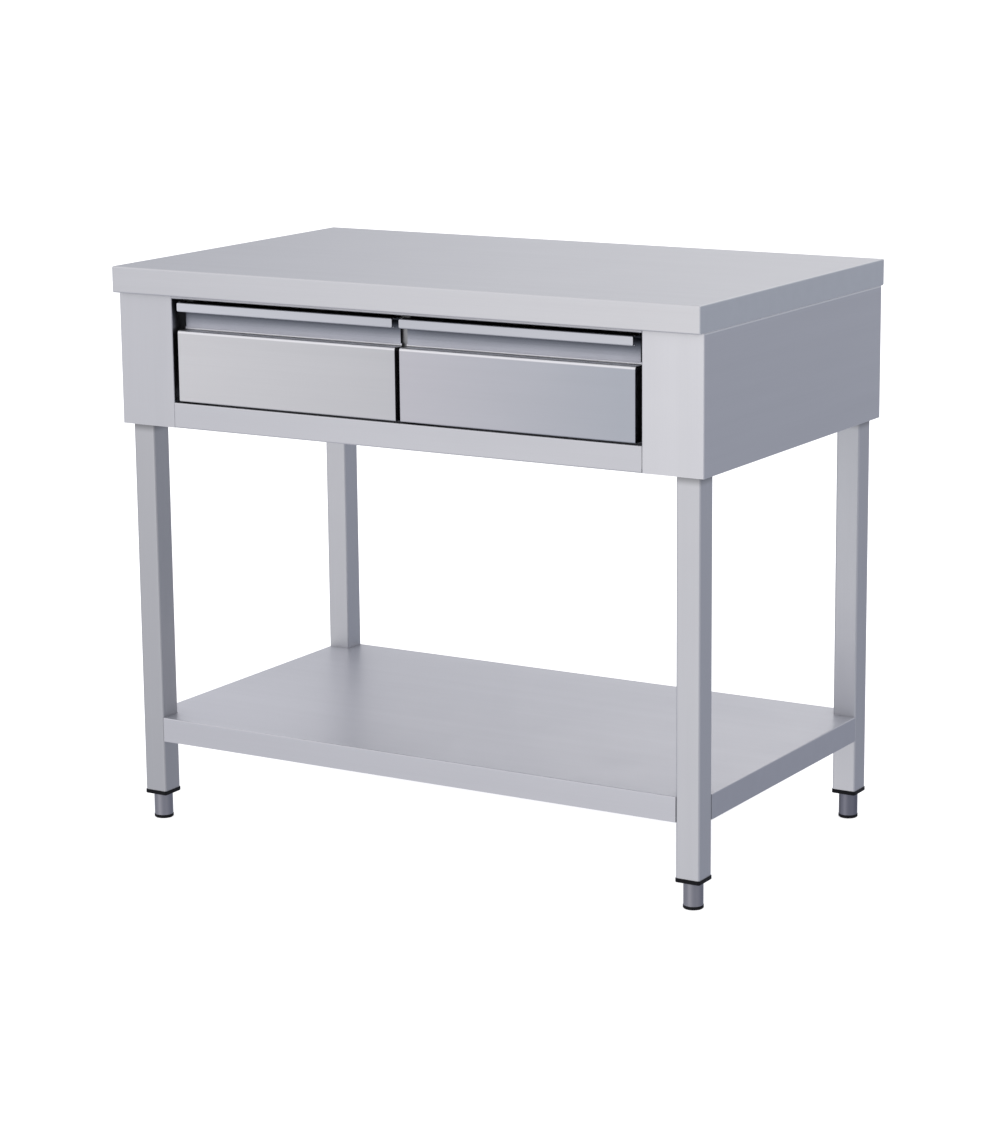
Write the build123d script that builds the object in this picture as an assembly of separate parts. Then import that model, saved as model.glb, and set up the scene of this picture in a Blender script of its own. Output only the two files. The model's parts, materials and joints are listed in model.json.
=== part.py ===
from build123d import *
import math
import os

# Stainless work table with a two-drawer block under the worktop and a fixed lower shelf.
# Frame: +Z up, +X to the user's right, +Y to the back; the origin is on the floor under the middle of the worktop.
# The user stands at -Y and pulls the drawers towards -Y. All sizes are in millimetres.

os.makedirs("parts", exist_ok=True)

# ---- driving dimensions --------------------------------------------------
TABLE_W, TABLE_D, TABLE_H = 1000.0, 600.0, 870.0   # worktop outline and working height
TOP_T = 40.0             # worktop skirt height
TOP_GAUGE = 1.2          # worktop sheet
TOP_LIP = 12.0           # hem turned in under the skirt
CORE_T = 16.0            # sound-deadening board glued under the worktop sheet
GAUGE = 1.0              # casing, shelf and drawer sheet
RAIL_GAUGE = 1.2         # rails, runner supports and drawer fronts

CASE_X = 498.5           # outer face of the side panels
CASE_F, CASE_B = -285.0, 295.0   # outer faces of the casing, front and back
CASE_Z0 = 628.5          # underside of the casing
CASE_Z1 = TABLE_H - TOP_T
BEND_R = 2.0             # outside bend radius of the casing sheet

OPEN_X = 401.0           # half width of the drawer opening
OPEN_Z0 = 667.0          # top face of the front bottom rail
STILE_RETURN = 45.0      # depth of the stile's return into the opening

LEG = 38.0               # square leg tube
LEG_WALL = 1.5
LEG_X = 487.5            # outer side face of the legs
LEG_F, LEG_B = -274.0, 284.0     # front face of the front legs, back face of the rear legs
LEG_Z0 = 46.3            # cut end of the tube above the floor
PLATE_T = 3.0            # welded head plate on each leg
PLATE = 54.0

SHELF_Z1, SHELF_T = 166.0, 38.0  # top face and skirt height of the lower shelf
SHELF_LIP = 10.0

DRW_W = 387.0            # width of one drawer front
DRW_GAP = 8.0            # gap between the two fronts
FRONT_Z0 = 669.5         # lower edge of a drawer front
PANEL_Z1 = 778.0         # top edge of the flat panel, where the finger grip starts
LIP_Z0, FRONT_Z1 = 806.0, 820.0  # grip lip
GRIP_D = 20.0            # depth of the finger grip
LIP_PROUD = 3.0          # how far the grip lip stands in front of the panel
LIP_SHORT = 2.0          # how much shorter the lip is at each end
PANEL_R = 4.5            # outside radius along the panel's top edge
TOP_RAIL_Z0 = 824.5      # underside of the rail over the drawers
DIV_F = -260.0           # front face of the centre divider
TRAY_W = 350.0
TRAY_Z0, TRAY_Z1, TRAY_FRONT_Z1 = 674.0, 784.0, 800.0
TRAY_B = 236.0

SLIDE_T = 12.7           # thickness of one telescopic runner
SLIDE_Z = 722.0          # its centre height
SLIDE_F, SLIDE_B = -249.0, 241.0
DRAWER_TRAVEL = 450.0
CAGE_F, CAGE_L = -60.0, 110.0
BALL_R = 1.5

STEM_R = 5.0             # M10 levelling screw
STEM_TOP = 108.0
SLEEVE_R, PAD_R = 14.5, 15.0
FLANGE = 40.0            # plug flange, slightly proud of the tube
FLANGE_T = 6.0

FOOT_X = LEG_X - LEG / 2
FOOT_YF, FOOT_YB = LEG_F + LEG / 2, LEG_B - LEG / 2
DIV_X = DRW_GAP / 2 + (DRW_W - TRAY_W) / 2 - SLIDE_T        # outer face of the centre divider's webs
SUP_X = DIV_X + TRAY_W + 2 * SLIDE_T                         # runner face of the outer supports
CORE_Z0 = TABLE_H - TOP_GAUGE - CORE_T
LIP_CLEAR = TABLE_D / 2 - TOP_LIP - 2                        # inner parts stop here at the level of the worktop's rear hem


# ---- helpers ---------------------------------------------------------------
def box(x0, x1, y0, y1, z0, z1):
    x0, x1 = min(x0, x1), max(x0, x1)
    y0, y1 = min(y0, y1), max(y0, y1)
    z0, z1 = min(z0, z1), max(z0, z1)
    return Pos((x0 + x1) / 2, (y0 + y1) / 2, (z0 + z1) / 2) * Box(x1 - x0, y1 - y0, z1 - z0)


def cyl(p, axis, r, length):
    """A cylinder that starts at p and runs along axis ("x", "-x", "y", "-y", "z", "-z")."""
    d = {"x": (1, 0, 0), "-x": (-1, 0, 0), "y": (0, 1, 0), "-y": (0, -1, 0), "z": (0, 0, 1), "-z": (0, 0, -1)}[axis]
    return extrude(Plane(origin=p, z_dir=d) * Circle(r), amount=length)


def cone(p, axis, r0, r1, length):
    d = {"x": (1, 0, 0), "-x": (-1, 0, 0), "y": (0, 1, 0), "-y": (0, -1, 0), "z": (0, 0, 1), "-z": (0, 0, -1)}[axis]
    return Plane(origin=p, z_dir=d) * Cone(r0, r1, length, align=(Align.CENTER, Align.CENTER, Align.MIN))


def hexbar(p, axis, flats, length):
    d = {"x": (1, 0, 0), "-x": (-1, 0, 0), "y": (0, 1, 0), "-y": (0, -1, 0), "z": (0, 0, 1), "-z": (0, 0, -1)}[axis]
    return extrude(Plane(origin=p, z_dir=d) * RegularPolygon(flats / math.sqrt(3), 6), amount=length)


def plane_for(axis, at):
    if axis == "x":      # local (u, v) is (Y, Z)
        return Plane(origin=(at, 0, 0), x_dir=(0, 1, 0), z_dir=(1, 0, 0))
    if axis == "y":      # local (u, v) is (X, Z), drawn at the far end and extruded towards -Y
        return Plane(origin=(0, at, 0), x_dir=(1, 0, 0), z_dir=(0, -1, 0))
    return Plane(origin=(0, 0, at), x_dir=(1, 0, 0), z_dir=(0, 0, 1))


def bent_sheet(points, t, side, radii, axis, a0, a1):
    """A folded sheet: points are the face that the radii are measured on, t is the gauge, side is +1 if the metal lies to the left of the path and -1 if to the right."""
    if isinstance(radii, (int, float)):
        radii = [radii] * (len(points) - 2)
    P = [Vector(x, y, 0) for x, y in points]
    A, B = [], []          # each entry is a point, or (start, middle, end) of an arc

    def off(d):
        return Vector(-d.Y, d.X, 0) * side * t

    d = (P[1] - P[0]).normalized()
    A.append(P[0]); B.append(P[0] + off(d))
    for i in range(1, len(P) - 1):
        d1, d2 = (P[i] - P[i - 1]).normalized(), (P[i + 1] - P[i]).normalized()
        cross = d1.X * d2.Y - d1.Y * d2.X
        turn = 1 if cross > 0 else -1
        ang = math.acos(max(-1, min(1, d1.dot(d2))))
        ra = radii[i - 1]
        rb = ra - t if turn == side else ra + t
        tl = ra * math.tan(ang / 2)
        s, e = P[i] - d1 * tl, P[i] + d2 * tl
        n1 = Vector(-d1.Y, d1.X, 0) * turn
        c = s + n1 * ra
        mid = ((s - c).normalized() + (e - c).normalized()).normalized()
        A.append((s, c + mid * ra, e))
        B.append(((c + (s - c).normalized() * rb), c + mid * rb, (c + (e - c).normalized() * rb)))
    d = (P[-1] - P[-2]).normalized()
    A.append(P[-1]); B.append(P[-1] + off(d))

    def edges(side_points):
        out, at = [], side_points[0]
        for q in side_points[1:]:
            if isinstance(q, tuple):
                out.append(Line(at, q[0])); out.append(ThreePointArc(*q)); at = q[2]
            else:
                out.append(Line(at, q)); at = q
        return out

    loop = edges(A) + [Line(A[-1], B[-1])] + edges(B) + [Line(A[0], B[0])]
    face = Face(Wire(loop))
    plane = plane_for(axis, a1 if axis == "y" else a0)
    return extrude(plane * face, amount=a1 - a0, dir=plane.z_dir)


def rounded_square(cx, cy, size, r, z0, z1):
    return extrude(Plane(origin=(cx, cy, z0)) * RectangleRounded(size, size, r), amount=z1 - z0)


def save(name, *shapes):
    solids = []
    for s in shapes:
        solids += list(s.solids())
    shape = solids[0] if len(solids) == 1 else Compound(children=solids)
    shape.label = name
    export_step(shape, "parts/" + name + ".step")
    return shape


def corners():
    for side, s in (("left", -1), ("right", 1)):
        for end, y, cy in (("front", LEG_F, FOOT_YF), ("rear", LEG_B - LEG, FOOT_YB)):
            yield end + "_" + side, s, end, y, cy


# ---- worktop -----------------------------------------------------------------
def worktop():
    hx, hy = TABLE_W / 2, TABLE_D / 2
    skin = box(-hx, hx, -hy, hy, CASE_Z1, TABLE_H)
    skin = fillet(skin.edges(), 2.2)
    t = TOP_GAUGE
    hollow = box(-hx + t, hx - t, -hy + t, hy - t, CASE_Z1 + t, TABLE_H - t)
    hollow = fillet(hollow.edges(), 1.0)
    mouth = box(-hx + TOP_LIP, hx - TOP_LIP, -hy + TOP_LIP, hy - TOP_LIP, CASE_Z1 - 1, CASE_Z1 + 5)
    skin = skin - hollow - mouth
    save("worktop_skin", skin)
    core = box(-hx + 3, hx - 3, -hy + 3, hy - 3, CORE_Z0, CORE_Z0 + CORE_T)
    for x, y, z in screw_places():                 # pilot holes
        core = core - cyl((x, y, CORE_Z0 - 1), "z", 2.03, 12.5)
    save("worktop_core_board", core)


# ---- screws up into the core board: (x, y, underside of what they hold) -----------------------
def plate_screws(s, end):
    """Three screws through each leg's head plate, beside the tube."""
    ix = s * (LEG_X - PLATE + 8)
    if end == "front":
        iy, ty = LEG_F + PLATE - 8, FOOT_YF
    else:
        iy, ty = LEG_B - PLATE + 8, FOOT_YB
    return [(ix, ty), (s * FOOT_X, iy), (ix, iy)]


RAIL_SCREWS = [(-300.0, -266.0), (0.0, -266.0), (300.0, -266.0)]
DIVIDER_SCREWS = [(0.0, -150.0), (0.0, 150.0)]
SUPPORT_SCREWS = [(SUP_X + 8.3, -150.0), (SUP_X + 8.3, 150.0)]


def screw_places():
    out = []
    for name, s, end, y, cy in corners():
        out += [(x, yy, CORE_Z0 - PLATE_T) for x, yy in plate_screws(s, end)]
    out += [(x, yy, CORE_Z0 - RAIL_GAUGE) for x, yy in RAIL_SCREWS + DIVIDER_SCREWS]
    for s in (-1, 1):
        out += [(s * x, yy, CORE_Z0 - RAIL_GAUGE) for x, yy in SUPPORT_SCREWS]
    return out


def core_screws():
    out = []

    def one(x, y, z):
        head = cyl((x, y, z - 2.4), "z", 4.0, 2.4)
        head = fillet(head.edges().sort_by(Axis.Z)[0], 1.4)
        slot = box(x - 2.6, x + 2.6, y - 0.5, y + 0.5, z - 2.5, z - 1.4) + box(x - 0.5, x + 0.5, y - 2.6, y + 2.6, z - 2.5, z - 1.4)
        out.append(head + cyl((x, y, z - 0.5), "z", 2.0, CORE_Z0 + 11 - z + 0.5) - slot)

    for x, yy, z in screw_places():
        one(x, yy, z)
    save("core_screws", *out)


# ---- drawer block casing -------------------------------------------------------
def casing():
    for name, s in (("left", -1), ("right", 1)):
        pts = [(OPEN_X, CASE_F + STILE_RETURN), (OPEN_X, CASE_F), (CASE_X, CASE_F), (CASE_X, CASE_B), (CASE_X - 20, CASE_B)]
        pts = [(s * x, y) for x, y in pts]
        panel = bent_sheet(pts, GAUGE, s, BEND_R, "z", CASE_Z0, CASE_Z1)
        inner = CASE_X - GAUGE / 2
        yb = CASE_B - 2 * GAUGE
        panel = panel + box(s * LEG_X, s * inner, CASE_F + 3, yb, CASE_Z0, CASE_Z0 + GAUGE)
        panel = panel + box(s * (OPEN_X + GAUGE / 2), s * (CASE_X - 3), CASE_F + GAUGE / 2, LEG_F, CASE_Z0, CASE_Z0 + GAUGE)
        panel = panel + box(s * (LEG_X + 1), s * inner, CASE_F + 3, yb, CASE_Z1 - GAUGE, CASE_Z1)
        panel = panel + box(s * (OPEN_X + GAUGE / 2), s * (CASE_X - 3), CASE_F + GAUGE / 2, LEG_F - 0.5, CASE_Z1 - GAUGE, CASE_Z1)
        save(name + "_side_panel", panel)

    rear = box(-CASE_X + 2.5, CASE_X - 2.5, CASE_B - 2 * GAUGE, CASE_B - GAUGE, CASE_Z0, CASE_Z1)
    rear = rear + box(-LEG_X + 0.5, LEG_X - 0.5, LEG_B, CASE_B - 1.5 * GAUGE, CASE_Z0, CASE_Z0 + GAUGE)
    save("rear_panel", rear)

    t = RAIL_GAUGE
    rail = bent_sheet([(CASE_F + STILE_RETURN, OPEN_Z0), (CASE_F, OPEN_Z0), (CASE_F, CASE_Z0), (CASE_F + 23, CASE_Z0)], t, 1, BEND_R, "x", -OPEN_X, OPEN_X)
    save("front_bottom_rail", rail)

    top = bent_sheet([(CASE_F + 31, TOP_RAIL_Z0), (CASE_F, TOP_RAIL_Z0), (CASE_F, CORE_Z0), (CASE_F + 31, CORE_Z0)], t, -1, BEND_R, "x", -OPEN_X, OPEN_X)
    for x, y in RAIL_SCREWS:
        top = top - cyl((x, y, CORE_Z0 - 3), "z", 2.3, 5)
        top = top - cyl((x, y, TOP_RAIL_Z0 - 1), "z", 5.0, 5)      # driver hole in the lower flange
    save("front_top_rail", top)

    yb = CASE_B - 2 * GAUGE
    div = bent_sheet([(-DIV_X, yb), (-DIV_X, DIV_F), (DIV_X, DIV_F), (DIV_X, yb)], t, 1, BEND_R, "z", OPEN_Z0, CORE_Z0)
    div = div + box(-DIV_X + t / 2, DIV_X - t / 2, -200, 200, CORE_Z0 - t, CORE_Z0)
    div = div - box(-DIV_X - 1, DIV_X + 1, DIV_F - 1, CASE_F + 32, TOP_RAIL_Z0 - 1, CORE_Z0 + 1)      # clears the top rail
    div = div - box(-DIV_X - 1, DIV_X + 1, LIP_CLEAR, CASE_B, CASE_Z1 - 0.5, CORE_Z0 + 1)             # clears the worktop's rear hem
    for x, y in DIVIDER_SCREWS:
        div = div - cyl((x, y, CORE_Z0 - 3), "z", 2.3, 5)
    for y in OUTER_SCREW_Y:
        div = div - cyl((-DIV_X - 2, y, SLIDE_Z), "x", 2.05, 2 * DIV_X + 4)
    save("centre_divider", div)

    for name, s in (("left", -1), ("right", 1)):
        yb = CASE_B - 2 * GAUGE
        pts = [(OPEN_X, CASE_F + 35), (SUP_X, CASE_F + 35), (SUP_X, yb), (OPEN_X, yb)]
        pts = [(s * x, y) for x, y in pts]
        sup = bent_sheet(pts, t, -s, BEND_R, "z", OPEN_Z0, CORE_Z0)
        sup = sup + box(s * (SUP_X + t / 2), s * (OPEN_X - 0.5), CASE_F + 38, yb - 3, CORE_Z0 - t, CORE_Z0)
        sup = sup - box(s * (SUP_X - 1), s * (OPEN_X + 1), LIP_CLEAR, CASE_B, CASE_Z1 - 0.5, CORE_Z0 + 1)
        for x, y in SUPPORT_SCREWS:
            sup = sup - cyl((s * x, y, CORE_Z0 - 3), "z", 2.3, 5)
        for y in OUTER_SCREW_Y:
            sup = sup - cyl((s * (SUP_X - 2), y, SLIDE_Z), "x" if s > 0 else "-x", 2.05, 6)
        save(name + "_runner_support", sup)


# ---- legs, plugs and feet ------------------------------------------------------
BOLT_Z = SHELF_Z1 - SHELF_T / 2


def legs():
    nuts = []
    for name, s, end, y0, cy in corners():
        cx = s * FOOT_X
        top = CORE_Z0 - PLATE_T
        tube = rounded_square(cx, cy, LEG, 3.0, LEG_Z0, top) - rounded_square(cx, cy, LEG - 2 * LEG_WALL, 1.5, LEG_Z0 - 1, top + 1)
        # bolt holes for the shelf, in the two faces that look inwards
        tube = tube - cyl((s * (LEG_X - LEG - 2), cy, BOLT_Z), "x" if s > 0 else "-x", 3.1, 5)
        if end == "front":
            tube = tube - cyl((cx, LEG_F + LEG + 2, BOLT_Z), "-y", 3.1, 5)
            py0, py1 = LEG_F, LEG_F + PLATE
        else:
            tube = tube - cyl((cx, LEG_B - LEG - 2, BOLT_Z), "y", 3.1, 5)
            py0, py1 = LEG_B - PLATE, LEG_B
        plate = box(s * (LEG_X - PLATE), s * LEG_X, py0, py1, top, CORE_Z0)
        plate = fillet(plate.edges().filter_by(Axis.Z), 4)
        for x, y in plate_screws(s, end):
            plate = plate - cyl((x, y, top - 1), "z", 2.3, PLATE_T + 2)
        save("leg_" + name, tube)
        yield plate

        # black nylon plug in the tube's end, with a captive nut for the levelling screw
        z = LEG_Z0
        flange = rounded_square(cx, cy, FLANGE, 3.5, z - FLANGE_T, z)
        flange = chamfer(flange.edges().group_by(Axis.Z)[0], 0.8)
        plug = flange + rounded_square(cx, cy, LEG - 2 * LEG_WALL - 0.1, 1.4, z - 0.5, z + 27)
        plug = plug - cyl((cx, cy, z - FLANGE_T - 1), "z", STEM_R + 0.5, 40)
        plug = plug - hexbar((cx, cy, z + 19), "z", 16.4, 12)
        save("leg_plug_" + name, plug)
        nuts.append(hexbar((cx, cy, z + 19), "z", 16.0, 8) - cyl((cx, cy, z + 18), "z", STEM_R + 0.05, 10))

        # levelling foot: fixed pad, and a sleeve and screw that turn on it
        pad = cyl((cx, cy, 0), "z", PAD_R, 5)
        pad = chamfer(pad.edges().sort_by(Axis.Z)[0], 1.2)
        pad = pad + cyl((cx, cy, 4.5), "z", 12.6, 9.5) - cyl((cx, cy, 6), "z", STEM_R + 0.3, 12)
        save("foot_pad_" + name, pad)
        zt = z - FLANGE_T - 0.3
        sleeve = cyl((cx, cy, 5.2), "z", SLEEVE_R, zt - 5.2)
        sleeve = fillet(sleeve.edges().sort_by(Axis.Z)[-1], 1.0)
        sleeve = sleeve - cyl((cx, cy, 4), "z", SLEEVE_R - 1.2, zt - 1.6 - 4) - cyl((cx, cy, 4), "z", STEM_R, 50)
        save("foot_sleeve_" + name, sleeve)
        stem = cyl((cx, cy, 6), "z", STEM_R, STEM_TOP - 6)
        stem = chamfer(stem.edges().filter_by(GeomType.CIRCLE), 1.0)
        save("foot_screw_" + name, stem)
    save("levelling_nuts", *nuts)


# ---- lower shelf -----------------------------------------------------------------
def shelf():
    z1, z0 = SHELF_Z1, SHELF_Z1 - SHELF_T
    g = GAUGE
    body = box(-LEG_X, LEG_X, LEG_F, LEG_B, z0, z1)
    for s in (-1, 1):
        body = body - box(s * (LEG_X - LEG), s * (LEG_X + 5), LEG_F - 5, LEG_F + LEG, z0 - 1, z1 + 1)
        body = body - box(s * (LEG_X - LEG), s * (LEG_X + 5), LEG_B - LEG, LEG_B + 5, z0 - 1, z1 + 1)
    rim = [e for e in body.edges().group_by(Axis.Z)[-1] if (abs(abs(e.center().X) - LEG_X) < 0.01 or abs(e.center().Y - LEG_F) < 0.01 or abs(e.center().Y - LEG_B) < 0.01)]
    body = fillet(rim, 1.8)
    hollow = box(-LEG_X + g, LEG_X - g, LEG_F + g, LEG_B - g, z0 - 1, z1 - g)
    for s in (-1, 1):
        hollow = hollow - box(s * (LEG_X - LEG - g), s * (LEG_X + 5), LEG_F - 5, LEG_F + LEG + g, z0 - 2, z1)
        hollow = hollow - box(s * (LEG_X - LEG - g), s * (LEG_X + 5), LEG_B - LEG - g, LEG_B + 5, z0 - 2, z1)
    body = body - hollow
    xi = LEG_X - LEG - g / 2
    for s in (-1, 1):
        body = body + box(s * (LEG_X - g / 2), s * (LEG_X - SHELF_LIP), LEG_F + LEG + g / 2, LEG_B - LEG - g / 2, z0, z0 + g)
    body = body + box(-xi, xi, LEG_F + g / 2, LEG_F + SHELF_LIP, z0, z0 + g)
    body = body + box(-xi, xi, LEG_B - g / 2, LEG_B - SHELF_LIP, z0, z0 + g)
    bolts = []
    for name, s, end, y0, cy in corners():
        cx = s * FOOT_X
        x_in = LEG_X - LEG
        body = body - cyl((s * (x_in - 3), cy, BOLT_Z), "x" if s > 0 else "-x", 3.1, 4)
        bolts.append(hexbar((s * (x_in - g), cy, BOLT_Z), "-x" if s > 0 else "x", 10, 4) + cyl((s * (x_in - g - 1), cy, BOLT_Z), "x" if s > 0 else "-x", 3.0, 9))
        if end == "front":
            yy, ax, back = LEG_F + LEG, "-y", "y"
            body = body - cyl((cx, yy + 3, BOLT_Z), ax, 3.1, 4)
            bolts.append(hexbar((cx, yy + g, BOLT_Z), back, 10, 4) + cyl((cx, yy + g + 1, BOLT_Z), ax, 3.0, 9))
        else:
            yy, ax, back = LEG_B - LEG, "y", "-y"
            body = body - cyl((cx, yy - 3, BOLT_Z), ax, 3.1, 4)
            bolts.append(hexbar((cx, yy - g, BOLT_Z), back, 10, 4) + cyl((cx, yy - g - 1, BOLT_Z), ax, 3.0, 9))
    save("lower_shelf", body)
    save("shelf_bolts", *bolts)
    zu = z1 - g
    hat = bent_sheet([(-45, zu - 1.2), (-26, zu - 1.2), (-22, zu - 20), (22, zu - 20), (26, zu - 1.2), (45, zu - 1.2)], 1.2, 1, 2.5, "x", -430, 430)
    save("shelf_stiffener", Pos(0, (LEG_F + LEG_B) / 2, 0) * hat)


# ---- telescopic runners ------------------------------------------------------------
OUTER_SCREW_Y = [-222.0, -5.0, 214.0]
RIVET_Y = [-200.0, 0.0, 190.0]
RIVET_R = 1.6                            # 3.2 mm rivets
# each runner is drawn by u, the distance from the cabinet face, and v, the height from its centre line
OUT_V, MID_V, IN_V = 22.5, 17.9, 13.5


def runner(face, s, drawer, side):
    """face is the x of the cabinet face, s the direction from it to the drawer."""
    fx = lambda u: face + s * u

    def channel(u0, u1, v, t, web_at, y0, y1, hooks=0.0):
        """A C section: its web at web_at, its two flanges from u0 to u1."""
        c = box(fx(web_at), fx(web_at + t), y0, y1, SLIDE_Z - v, SLIDE_Z + v)
        for k in (-1, 1):
            c = c + box(fx(u0), fx(u1), y0, y1, SLIDE_Z + k * v, SLIDE_Z + k * (v - t))
            if hooks:
                c = c + box(fx(u1 - t), fx(u1), y0, y1, SLIDE_Z + k * v, SLIDE_Z + k * (v - hooks))
        c = c + box(fx(web_at), fx(web_at + t), y0, y1, SLIDE_Z - v, SLIDE_Z + v)
        return c

    outer = channel(0, 11.4, OUT_V, 1.2, 0, SLIDE_F, SLIDE_B, 1.9)
    screws = []
    for y in OUTER_SCREW_Y:
        outer = outer - cone((fx(0), y, SLIDE_Z), "x" if s > 0 else "-x", 2.05, 3.7, 1.2)
        screws.append(cone((fx(0), y, SLIDE_Z), "x" if s > 0 else "-x", 2.0, 3.6, 1.15) + cyl((fx(0.1), y, SLIDE_Z), "-x" if s > 0 else "x", 2.0, 6.0))
        screws.append(hexbar((fx(-RAIL_GAUGE), y, SLIDE_Z), "-x" if s > 0 else "x", 7.0, 3.2) - cyl((fx(1), y, SLIDE_Z), "-x" if s > 0 else "x", 2.05, 8))
    middle = channel(3.0, 11.0, MID_V, 1.0, 3.0, SLIDE_F + 1, SLIDE_B - 1)
    inner = channel(6.2, SLIDE_T, IN_V, 1.0, SLIDE_T - 1.2, SLIDE_F, SLIDE_B)
    inner = inner + box(fx(SLIDE_T - 1.2), fx(SLIDE_T), SLIDE_F, SLIDE_B, SLIDE_Z - IN_V, SLIDE_Z + IN_V)
    rivets = []
    for y in RIVET_Y:
        inner = inner - cyl((fx(SLIDE_T - 3), y, SLIDE_Z), "x" if s > 0 else "-x", RIVET_R + 0.05, 4)
        rivets.append(cyl((fx(SLIDE_T - 2.1), y, SLIDE_Z), "x" if s > 0 else "-x", 3.4, 0.9) + cyl((fx(SLIDE_T - 2.0), y, SLIDE_Z), "x" if s > 0 else "-x", RIVET_R, 4.0) + cyl((fx(SLIDE_T + GAUGE), y, SLIDE_Z), "x" if s > 0 else "-x", 2.9, 1.4))

    def cage(web_u, flange_u, v, ball_u, ball_v):
        c = box(fx(web_u), fx(web_u + 0.8), CAGE_F, CAGE_F + CAGE_L, SLIDE_Z - v, SLIDE_Z + v)
        for k in (-1, 1):
            c = c + box(fx(web_u), fx(flange_u), CAGE_F, CAGE_F + CAGE_L, SLIDE_Z + k * v, SLIDE_Z + k * (v - 0.8))
        c = c - box(fx(web_u - 1), fx(web_u + 2), CAGE_F + 16, CAGE_F + CAGE_L - 16, SLIDE_Z - v + 4, SLIDE_Z + v - 4)
        balls = []
        for i in range(5):
            y = CAGE_F + 10 + i * (CAGE_L - 20) / 4
            for k in (-1, 1):
                c = c - cyl((fx(ball_u), y, SLIDE_Z + k * (v - 2)), "z" if k > 0 else "-z", BALL_R + 0.15, 4)
                balls.append(Pos(fx(ball_u), y, SLIDE_Z + k * ball_v) * Sphere(BALL_R))
        return [c] + balls

    outer_cage = cage(1.7, 9.2, 20.0, 7.2, (OUT_V - 1.2 + MID_V) / 2)
    inner_cage = cage(4.6, 10.6, 15.6, 8.6, (MID_V - 1.0 + IN_V) / 2)
    buffer_block = box(fx(1.2), fx(11.0), SLIDE_B + 0.2, SLIDE_B + 8.2, SLIDE_Z - 12, SLIDE_Z + 12) + box(fx(0), fx(1.2), SLIDE_B + 0.2, SLIDE_B + 8.2, SLIDE_Z - 12, SLIDE_Z + 12)
    save(drawer + "_drawer_outer_runner_" + side, outer)
    save(drawer + "_drawer_middle_runner_" + side, middle)
    save(drawer + "_drawer_inner_runner_" + side, inner)
    return screws, rivets, outer_cage, inner_cage, buffer_block


# ---- drawers -----------------------------------------------------------------------
def drawer(name, x0):
    """x0 is the left edge of the drawer front."""
    x1 = x0 + DRW_W
    t = RAIL_GAUGE
    yg = CASE_F + GRIP_D
    # folded front: bottom flange, flat panel, ledge, back wall of the finger grip, top and lip with a turned-in hem
    yl = CASE_F - LIP_PROUD
    path = [(yg + t, FRONT_Z0), (CASE_F, FRONT_Z0), (CASE_F, PANEL_Z1), (yg, PANEL_Z1 - 1.5), (yg, FRONT_Z1 - t), (yl + t, FRONT_Z1 - t), (yl + t, LIP_Z0 + t), (yl + 9, LIP_Z0 + t)]
    front = bent_sheet(path, t, -1, [2.0, PANEL_R, 3.0, 5.0, 1.0, 0.6], "x", x0, x1)
    # above the ledge the sheet is cut back at both ends, and the lip's corners are rounded
    for xa, xb in ((x0 - 1, x0 + LIP_SHORT), (x1 - LIP_SHORT, x1 + 1)):
        front = front - box(xa, xb, yl - 1, yg + 5, PANEL_Z1 + 3, FRONT_Z1 + 1)
    zone = box(x0 - 1, x1 + 1, yl - 1, yl + 6, LIP_Z0 - 1, FRONT_Z1 + 1)
    lip = Plane(origin=((x0 + x1) / 2, yl + 8, (LIP_Z0 + FRONT_Z1) / 2), x_dir=(1, 0, 0), z_dir=(0, -1, 0)) * RectangleRounded(DRW_W - 2 * LIP_SHORT, FRONT_Z1 - LIP_Z0, 3.0)
    lip = extrude(lip, amount=12)
    front = (front - zone) + (front & zone & lip)
    for xa, xb in ((x0, x0 + t), (x1 - t, x1)):
        front = front + box(xa, xb, CASE_F + 1.6, yg + t, FRONT_Z0 + 0.6, PANEL_Z1 - 3.2)
    try:
        ends = [e for e in front.edges().filter_by(Axis.Z) if abs(e.center().Y - CASE_F) < 1.0 and e.length > 60 and (abs(e.center().X - x0) < 0.01 or abs(e.center().X - x1) < 0.01)]
        if ends:
            front = fillet(ends, 0.5)
    except Exception as err:
        print("front end fillet left out:", err)
    save(name + "_drawer_front", front)

    a = x0 + (DRW_W - TRAY_W) / 2
    b = a + TRAY_W
    g = GAUGE
    tray = box(a, b, yg + t, TRAY_B, TRAY_Z0, TRAY_Z1)
    tray = fillet(list(tray.edges().filter_by(Axis.Z)) + list(tray.edges().group_by(Axis.Z)[0]), 2.0)
    hollow = box(a + g, b - g, yg + t + g, TRAY_B - g, TRAY_Z0 + g, TRAY_Z1 + 5)
    hollow = fillet(list(hollow.edges().filter_by(Axis.Z)) + list(hollow.edges().group_by(Axis.Z)[0]), 1.0)
    tray = tray - hollow
    tray = tray + box(a + 2.5, b - 2.5, yg + t, yg + t + g, TRAY_Z1 - 2, TRAY_FRONT_Z1)
    for xa, xb in ((a + g / 2, a + 8), (b - 8, b - g / 2)):
        tray = tray + box(xa, xb, yg + t + 6, TRAY_B - 3, TRAY_Z1 - g, TRAY_Z1)
    tray = tray + box(a + 3, b - 3, TRAY_B - 8, TRAY_B - g / 2, TRAY_Z1 - g, TRAY_Z1)
    for y in RIVET_Y:
        tray = tray - cyl((a - 2, y, SLIDE_Z), "x", RIVET_R + 0.05, 5) - cyl((b + 2, y, SLIDE_Z), "-x", RIVET_R + 0.05, 5)
    save(name + "_drawer_tray", tray)
    return a, b


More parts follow.
